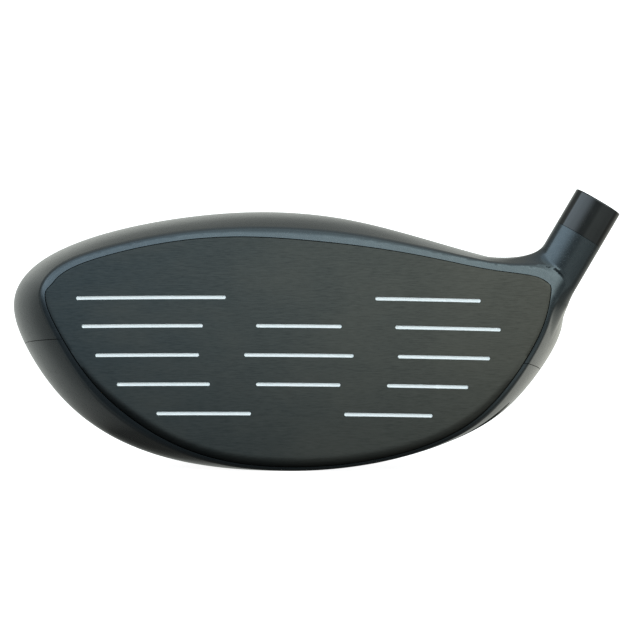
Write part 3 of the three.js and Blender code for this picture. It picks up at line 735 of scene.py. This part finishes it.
def slab(name, reach, front, back, around=480, rings=24, edge=0.0, follows_edge=False):
    """Slab that follows the face, as far as reach gives for each angle around the hub.

    edge is the radius of its rounded front edge.
    """
    turns = np.arange(around) / around * 2 * math.pi

    def ring(share, inset, depth):
        radius = (reach(turns) - inset) * share
        x, z = HUB[0] + radius * np.cos(turns), HUB[1] + radius * np.sin(turns)
        drop = edge_drop(turns, radius) if follows_edge else 0
        return np.c_[x, face_y(x, z) + drop + depth, z]

    shares = (np.arange(rings) + 1) / rings
    made = [ring(0, 0, front)[:1]]
    made += [ring(s, edge, front) for s in shares]
    if edge:
        for t in EDGE_TURNS:
            made.append(ring(1, edge * (1 - math.sin(t)), front + edge * (1 - math.cos(t))))
    made += [ring(1, 0, back)]
    made += [ring(s, 0, back) for s in (0.6, 0.3)]
    made += [ring(0, 0, back)[:1]]
    return welded(rings_object(name, made))


hosel = np.array([TO_HEEL, TO_FRONT, DOWN]), HOSEL_TOP
port = sole_frame(PORT_SHARE)
badge = sole_frame(BADGE_SHARE)


def disc(name, place, radius, low, high, segments=72):
    return turned(name, place, [(0, low), (radius, low), (radius, high), (0, high)], segments)


def badge_prism(name, share, grow=0.0):
    """Elliptical prism through the sole. share scales the badge's outline."""
    samples = 120
    turns = np.arange(samples) / samples * 2 * math.pi
    wide, long = BADGE_WIDTH * share + grow, BADGE_LENGTH * share + grow
    outline = np.c_[wide * np.cos(turns), long * np.sin(turns)]
    return prism(name, badge, outline, -BADGE_LENGTH, BADGE_LENGTH)


def build_badge(solid):
    """Plain badge with a fine engraved line inside its edge."""
    made = copy_of(solid, "badge")
    cut(made, badge_prism("badge_outline", 1), "INTERSECT")
    cut(made, skin_solid("badge_floor", BADGE_THICKNESS))
    line = badge_prism("line", 0.86)
    cut(line, badge_prism("inside_line", 0.8))
    cut(line, skin_solid("line_floor", BADGE_THICKNESS / 3))
    return cut(made, line)


def face_opening(name, behind=0.3, **detail):
    """Cutter for the hole that the face plate closes, which ends behind the plate."""
    return slab(name, opening_radius, -BEFORE_FACE, FACE_THICKNESS + behind, **detail)


def build_shell():
    """Crown and sole, hollow and parted at the seam, and the head without its hollow."""
    outer = outer_solid()
    cut(outer, prism("below_ground", (np.eye(3), np.zeros(3)), square(BEYOND), -BEYOND, 0))
    cut(outer, disc("neck_top", hosel, radius=20, low=-10, high=NECK_START, segments=24))
    solid = copy_of(outer, "solid")
    cut(outer, skin_solid("inner", WALL))
    cut(outer, face_opening("opening", rings=16))
    crown = copy_of(outer, "crown")
    cut(crown, along_seam("above", SEAM_GAP / 2, BEYOND), "INTERSECT")
    cut(crown, disc("bore", hosel, BORE_RADIUS, -1, NECK_END + 1))
    sole = copy_of(outer, "sole")
    cut(sole, along_seam("below", -BEYOND, -SEAM_GAP / 2), "INTERSECT")
    lip = skin_solid("lip", WALL - LIP_OVERLAP)
    cut(lip, skin_solid("inside_lip", WALL + LIP_THICKNESS))
    cut(lip, along_seam("lip_height", -LIP_HEIGHT, LIP_HEIGHT), "INTERSECT")
    cut(lip, face_opening("lip_opening", rings=16))
    cut(sole, lip, "UNION")
    cut(sole, disc("tube_hole", hosel, HOSEL_RADIUS + WELD_GAP, NECK_END, TUBE_END))
    cut(sole, disc("port_hole", port, PORT_RIM + WELD_GAP, -PORT_DEPTH - PORT_FLOOR - 1, PORT_BLANK))
    recess = badge_prism("recess", 1, BADGE_GAP)
    cut(recess, skin_solid("recess_floor", BADGE_THICKNESS + 0.1))
    cut(sole, recess)
    bpy.data.objects.remove(outer)
    return crown, sole, solid


crown, sole, solid = build_shell()


def finish_piece(made, body, *nodes, slot, materials, degrees=32):
    shade(made, degrees)
    set_materials(made, *materials)
    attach(made, body)
    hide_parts(*nodes)


finish_piece(crown, "head", "crown_shell", slot="charcoal_paint", materials=[paint], degrees=28)
finish_piece(sole, "head", "sole_shell", slot="charcoal_paint", materials=[paint], degrees=28)
follow_skin(crown)
follow_skin(sole)

# ---------------------------------------------------------------- face


def score_cutter(start, end, row_z):
    """Trough with round ends along one score line, following the face."""
    half, above_face = SCORE_WIDTH / 2, 1.5
    steps = half * (1 - np.cos(np.linspace(0.12, math.pi / 2, 7)))
    length = end - start
    along = np.r_[steps, np.linspace(half, length - half, 24)[1:-1], (length - steps)[::-1]]
    from_end = np.minimum(np.minimum(along, length - along), half)
    width = np.sqrt(np.maximum(half**2 - (half - from_end) ** 2, 0)) / half
    x = start + along
    z = row_z - SCORE_ARCH * (x - FACE_X) ** 2 / (2 * FACE_RADIUS) + SCORE_TILT * (x - FACE_X)
    sweep = np.linspace(0, math.pi, 9)
    round_floor = [(-half * math.cos(t), SCORE_DEPTH * math.sin(t)) for t in sweep]
    profile = [(-half, -above_face), *round_floor, (half, -above_face)]
    rings = []
    for xi, zi, wi in zip(x, z, width):
        rings.append(np.array([(xi, face_y(xi, zi + w * wi) + d, zi + w * wi) for w, d in profile]))
    caps = [rings[0].mean(0, keepdims=True), rings[-1].mean(0, keepdims=True)]
    return [caps[0], *rings, caps[1]]


def build_face():
    """Face plate with its score lines cut in."""
    detail = {"around": 720, "rings": 72, "edge": PLATE_EDGE, "follows_edge": True}
    plate = slab("face", plate_radius, 0, FACE_THICKNESS, **detail)
    for number, (row_z, spans) in enumerate(SCORE_ROWS):
        for start, end in spans:
            cut(plate, welded(rings_object(f"score_{number}", score_cutter(start, end, row_z))))
    return plate


face = build_face()
face_looks = [face_metal, white_fill]
finish_piece(face, "head", "face_plate", slot="brushed_face", materials=face_looks, degrees=25)


def paint_scores():
    """Gives the second material to the faces between the plate's front and back, inside its edge."""
    mesh = face.data
    count = len(mesh.polygons)
    centre = np.empty(count * 3)
    mesh.polygons.foreach_get("center", centre)
    x, y, z = (centre.reshape(-1, 3) * 1000 - SHIFT).T
    angle, radius = np.arctan2(z - HUB[1], x - HUB[0]), np.hypot(x - HUB[0], z - HUB[1])
    depth = y - face_y(x, z) - edge_drop(angle, radius)
    filled = (depth > 0.05) & (depth < 1) & (radius < 0.98 * plate_radius(angle))
    mesh.polygons.foreach_set("material_index", filled.astype(np.int32))


paint_scores()

# ---------------------------------------------------------------- hosel parts


def build_collar():
    """Ring whose top end is slightly domed, with fine edges."""
    radius, edge = HOSEL_RADIUS, 0.06
    dome = [(BORE_RADIUS, -0.3), (radius - 0.3, -0.24), (radius - 0.07, -0.12), (radius, 0)]
    side = [(radius, edge), (radius, COLLAR_END - edge)]
    end = [(radius - edge, COLLAR_END), (BORE_RADIUS, COLLAR_END)]
    return turned("collar", hosel, [*dome, *side, *end], 144)


def build_sleeve():
    """Sleeve with the shaft's bore, glue grooves around it and key slots in its lower end."""
    outside, groove = SLEEVE_RADIUS, SLEEVE_RADIUS - GROOVE_DEPTH
    grooves = []
    for k in range(SLEEVE_GROOVES):
        at = FIRST_GROOVE + k * GROOVE_PITCH
        grooves += [(outside, at), (groove, at + 0.3), (groove, at + 1.1), (outside, at + 1.4)]
    profile = [
        (SHAFT_RADIUS, 0.8), (SHAFT_RADIUS + 0.45, 0.2), (outside, 0.2), *grooves,
        (outside, SLEEVE_END - 0.4), (outside - 0.4, SLEEVE_END), (SLEEVE_HOLE + 0.3, SLEEVE_END),
        (SLEEVE_HOLE, SLEEVE_END - 0.4), (SLEEVE_HOLE, SHAFT_DEPTH), (SHAFT_RADIUS, SHAFT_DEPTH),
    ]
    made = turned("sleeve_body", hosel, profile, 96)
    for k in range(KEY_SLOTS):
        slot = bar(2, 8, KEY_WIDTH, k * 2 * math.pi / KEY_SLOTS)
        cut(made, prism(f"key_{k}", hosel, slot, SLEEVE_END - 2.3, SLEEVE_END + 2))
    return made


def build_screw():
    """Screw with a ridged thread, a chamfered head and a six-lobed socket."""
    start, end = SCREW_HEAD_START, SCREW_HEAD_END
    ridges = thread(SCREW_TIP + SCREW_PITCH, SCREW_PITCH, SCREW_TURNS, SCREW_CREST, SCREW_ROOT)
    profile = [
        (0, SCREW_TIP), (1.8, SCREW_TIP), (SCREW_ROOT, SCREW_TIP + 0.4), *ridges,
        (SCREW_NECK, SLEEVE_END), (SCREW_NECK, start), (SCREW_HEAD - 0.2, start),
        (SCREW_HEAD, start + 0.2), (SCREW_HEAD, end - 0.5), (SCREW_HEAD - 0.5, end), (0, end),
    ]
    made = turned("hosel_screw_body", hosel, profile, 96)
    return cut(made, prism("drive", hosel, lobes(SCREW_DRIVE, 0.55), end - 2.6, end + 1))


def build_tube():
    """Tube from the hosel's foot to the sole, trimmed to the head and clear of the face."""
    start = NECK_END + 0.3
    profile = [
        (BORE_RADIUS, start), (HOSEL_RADIUS, start), (HOSEL_RADIUS, TUBE_END), (BORE_RADIUS, TUBE_END),
    ]
    made = turned("hosel_tube_body", hosel, profile, 96)
    cut(made, solid, "INTERSECT", keep=True)
    return cut(made, face_opening("tube_front", behind=0.5, rings=8, around=180))


collar = build_collar()
finish_piece(collar, "sleeve", "ferrule_collar", slot="black_gloss", materials=[black], degrees=40)
sleeve = build_sleeve()
finish_piece(sleeve, "sleeve", "adapter_sleeve", slot="black_aluminium", materials=[anodised])
finish_piece(build_screw(), "hosel_screw", "hosel_screw", slot="steel", materials=[steel])
finish_piece(build_tube(), "head", "hosel_tube", slot="cast_titanium", materials=[titanium])

# ---------------------------------------------------------------- rear weight and badge


def build_port():
    """Boss with the pocket that takes the rear weight, trimmed to the sole's skin."""
    under = -PORT_DEPTH - PORT_FLOOR
    profile = [
        (PORT_POCKET, PORT_BLANK), (PORT_RIM, PORT_BLANK), (PORT_RIM, under), (PORT_HOLE, under),
        (PORT_HOLE, -PORT_DEPTH), (PORT_POCKET, -PORT_DEPTH),
    ]
    made = turned("rear_port", port, profile, 120)
    return cut(made, solid, "INTERSECT", keep=True)


def build_weight():
    """Screw-in weight with a dished top, a six-lobed socket and a ring of marks."""
    top, under, rim = WEIGHT_TOP, WEIGHT_UNDER, WEIGHT_RADIUS
    ridges = thread(under - 0.5, -WEIGHT_PITCH, WEIGHT_TURNS, WEIGHT_CREST, WEIGHT_ROOT)
    profile = [
        (0, top - 0.5), (3.4, top - 0.5), (3.8, top), (rim - 0.5, top), (rim, top - 0.5),
        (rim, under + 0.4), (rim - 0.4, under), (WEIGHT_CREST, under), *ridges,
        (WEIGHT_ROOT, under - 4.6), (0, under - 4.6),
    ]
    made = turned("rear_weight_body", port, profile, 120)
    cut(made, prism("weight_drive", port, lobes(WEIGHT_DRIVE, 0.6), top - 3.4, top + 2))
    for k in range(WEIGHT_MARKS):
        mark = bar(MARK_START, MARK_END, MARK_WIDTH, (k + 0.5) * 2 * math.pi / WEIGHT_MARKS)
        cut(made, prism(f"mark_{k}", port, mark, top - 0.35, top + 1))
    return made


finish_piece(build_port(), "head", "rear_weight_port", slot="cast_titanium", materials=[titanium])
weight = build_weight()
finish_piece(weight, "rear_weight", "rear_weight", slot="weight_metal", materials=[weight_metal])
finish_piece(build_badge(solid), "head", "sole_badge", slot="badge_metal", materials=[badge_metal])
bpy.data.objects.remove(solid)

# ---------------------------------------------------------------- CAD nodes that stay

carried = {
    "hosel_insert": anodised,
    "hosel_screw_ring": rubber,
    "sole_rib_front": titanium,
    "sole_rib_middle": titanium,
    "sole_rib_long": titanium,
    "crown_brace_heel": titanium,
    "crown_brace_toe": titanium,
    "hot_melt_slug": hot_melt,
    "hosel_screw_washer": nylon,
    "rear_weight_washer": rubber,
}
for node, material in carried.items():
    set_materials(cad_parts[node], material)

# ---------------------------------------------------------------- stage, lights and camera

# Light levels against a direction's height, from -1 straight down to 1 straight up. Those of the
# flanks go by its Y instead, from -1 straight before the head to 1 straight behind it.
BACK_TOE = [
    (-1, 0.02), (-0.45, 0.03), (-0.32, 0.02), (-0.22, 0.05), (-0.1, 0.2), (0.05, 0.55), (0.2, 0.52),
    (0.3, 0.38), (0.38, 0.2), (0.46, 0.14), (0.7, 0.2), (1, 0.25),
]
BACK_HEEL = [
    (-1, 0.02), (-0.45, 0.03), (-0.3, 0.05), (-0.2, 0.12), (-0.1, 0.32), (0.05, 0.42), (0.2, 0.27),
    (0.3, 0.15), (0.46, 0.14), (0.7, 0.2), (1, 0.25),
]
FLANK_TOE = [
    (-1, 0.2), (0.3, 0.15), (0.55, 0.09), (0.65, 0.14), (0.75, 0.25), (0.85, 0.31), (0.93, 0.4),
    (1, 0.48),
]
FLANK_HEEL = [(-1, 0.1), (0.3, 0.09), (0.5, 0.13), (0.6, 0.25), (0.85, 0.32), (0.93, 0.42), (1, 0.6)]
SIDE_LIGHT = [(-1, 0.02), (-0.2, 0.05), (0, 0.1), (0.3, 0.14), (0.6, 0.2), (1, 0.25)]
TOE_LIGHT = [
    (-1, 0.02), (-0.3, 0.04), (-0.1, 0.06), (0.12, 0.08), (0.2, 0.27), (0.26, 0.46), (0.33, 0.72),
    (0.4, 0.88), (0.46, 0.92), (0.52, 1.05), (0.6, 0.95), (0.8, 0.6), (1, 0.42),
]
HEEL_LIGHT = [
    (-1, 0.02), (-0.55, 0.1), (-0.4, 0.2), (-0.2, 0.22), (-0.08, 0.1), (0.1, 0.09), (0.18, 0.3),
    (0.26, 0.68), (0.33, 0.85), (0.4, 1.0), (0.46, 1.05), (0.52, 1.25), (0.6, 1.1), (0.8, 0.65),
    (1, 0.42),
]
BACK_TINT, SIDE_TINT = (1, 1.05, 0.99), (1.0, 1.05, 1.05)
FLANK_TOE_TINT, FLANK_HEEL_TINT = (1, 1.05, 1.0), (1.05, 1.06, 0.96)
TOE_TINT, HEEL_TINT = (0.84, 1.0, 1.12), (1.12, 1.24, 1.22)

# Where a direction's X goes over from the toe's light to the heel's, and its Y from one light to the
# next one behind it.
BACK_MIDDLE, FLANK_MIDDLE, FRONT_MIDDLE = (0, 0.1), (-0.2, 0.2), (-0.45, 0.45)
FRONT_TO_SIDE, SIDE_TO_BACK = (0.08, 0.24), (0.5, 0.85)
# The share of X in the sum of the sizes of X and Z at which the flank's light takes over.
FLANK_SHARE = (0.42, 0.68)


def build_floor():
    """White floor, just under the sole, that curves up into a white wall behind the head."""
    front, depth, height, bend, half = -2200, 1500, 1500, 700, 2500
    drop, bend_steps = 0.1, 24
    line = [(front, -drop), (depth - bend, -drop)]
    for t in np.linspace(0, math.pi / 2, bend_steps)[1:]:
        line.append((depth - bend + bend * math.sin(t), bend * (1 - math.cos(t))))
    line.append((depth, height + bend))
    points = [(side * half / 1000, y / 1000, z / 1000) for y, z in line for side in (-1, 1)]
    faces = [(2 * i, 2 * i + 1, 2 * i + 3, 2 * i + 2) for i in range(len(line) - 1)]
    made = make_object("floor", points, faces, in_row_frame=True)
    made.data.polygons.foreach_set("use_smooth", np.ones(len(faces), bool))
    material = bpy.data.materials.new("floor_white")
    material.use_nodes = True
    shader = material.node_tree.nodes["Principled BSDF"]
    shader.inputs["Base Color"].default_value = (0.9, 0.9, 0.9, 1)
    shader.inputs["Roughness"].default_value = 0.9
    shader.inputs["Emission Color"].default_value = (1, 1, 1, 1)
    shader.inputs["Emission Strength"].default_value = 0.95
    set_materials(made, material)
    made.visible_glossy = False
    made.visible_diffuse = False
    made.visible_shadow = False


def build_fill_light():
    """Soft light before the head and above it, which isn't seen in reflections."""
    place, aim = Vector((0, -2, 0.6)), Vector((0, 0, 0.03))
    data = bpy.data.lights.new("fill", "AREA")
    data.shape = "RECTANGLE"
    data.size, data.size_y = 1.5, 1.0
    data.energy = 22
    made = bpy.data.objects.new("fill", data)
    made.location = place
    made.rotation_euler = (aim - place).to_track_quat("-Z", "Y").to_euler()
    made.visible_glossy = False
    bpy.context.scene.collection.objects.link(made)


def build_world():
    """Studio surroundings, brightest before the head and rather dim beside and behind it."""
    world = bpy.data.worlds.new("studio")
    world.use_nodes = True
    tree = world.node_tree
    coordinates = tree.nodes.new("ShaderNodeTexCoord")
    direction = tree.nodes.new("ShaderNodeSeparateXYZ")
    tree.links.new(coordinates.outputs["Generated"], direction.inputs[0])

    def spread(value, limits, interpolation="SMOOTHSTEP"):
        """0 to 1 as the value goes from one limit to the other."""
        made = tree.nodes.new("ShaderNodeMapRange")
        made.interpolation_type = interpolation
        made.inputs["From Min"].default_value, made.inputs["From Max"].default_value = limits
        tree.links.new(value, made.inputs["Value"])
        return made.outputs[0]

    def ramp(value, stops, tint):
        made = tree.nodes.new("ShaderNodeValToRGB")
        while len(made.color_ramp.elements) < len(stops):
            made.color_ramp.elements.new(0.5)
        for element, (place, level) in zip(made.color_ramp.elements, stops):
            element.position = (place + 1) / 2
            element.color = (*(level * t for t in tint), 1)
        tree.links.new(value, made.inputs[0])
        return made.outputs[0]

    def mixed(factor, a, b):
        made = tree.nodes.new("ShaderNodeMix")
        made.data_type = "RGBA"
        for value, socket in ((factor, 0), (a, 6), (b, 7)):
            tree.links.new(value, made.inputs[socket])
        return made.outputs[2]

    def math_node(operation, *values):
        made = tree.nodes.new("ShaderNodeMath")
        made.operation = operation
        for value, socket in zip(values, made.inputs):
            if isinstance(value, bpy.types.NodeSocket):
                tree.links.new(value, socket)
            else:
                socket.default_value = value
        return made.outputs[0]

    def as_share(value):
        """-1 to 1 as 0 to 1."""
        return math_node("MULTIPLY_ADD", value, 0.5, 0.5)

    x, y, z = direction.outputs
    height, depth = as_share(z), as_share(y)
    back_toe, back_heel = ramp(height, BACK_TOE, BACK_TINT), ramp(height, BACK_HEEL, BACK_TINT)
    behind = mixed(spread(x, BACK_MIDDLE), back_toe, back_heel)
    flank_toe = ramp(depth, FLANK_TOE, FLANK_TOE_TINT)
    flank_heel = ramp(depth, FLANK_HEEL, FLANK_HEEL_TINT)
    flank = mixed(spread(x, FLANK_MIDDLE), flank_toe, flank_heel)
    beside = ramp(height, SIDE_LIGHT, SIDE_TINT)
    before_toe, before_heel = ramp(height, TOE_LIGHT, TOE_TINT), ramp(height, HEEL_LIGHT, HEEL_TINT)
    before = mixed(spread(x, FRONT_MIDDLE), before_toe, before_heel)
    sideways, upright = math_node("ABSOLUTE", x), math_node("ABSOLUTE", z)
    total = math_node("ADD", sideways, math_node("ADD", upright, 0.001))
    flank_share = spread(math_node("DIVIDE", sideways, total), FLANK_SHARE, "LINEAR")
    around = mixed(flank_share, mixed(spread(y, SIDE_TO_BACK), beside, behind), flank)
    whole = mixed(spread(y, FRONT_TO_SIDE), before, around)
    tree.links.new(whole, tree.nodes["Background"].inputs["Color"])
    bpy.context.scene.world = world


def build_camera():
    """Level camera straight before the face, whose picture is frame_width wide there."""
    distance, frame_width, eye_height = 1200, 148.7, 36.8
    data = bpy.data.cameras.new("camera")
    data.sensor_width = 36
    data.lens = data.sensor_width * distance / frame_width
    made = bpy.data.objects.new("camera", data)
    made.location = row((0, FACE_Y - distance, eye_height))
    made.rotation_euler = (math.pi / 2, 0, 0)
    bpy.context.scene.collection.objects.link(made)
    bpy.context.scene.camera = made


build_floor()
build_world()
build_camera()
build_fill_light()
bpy.context.scene.view_settings.view_transform = "Standard"
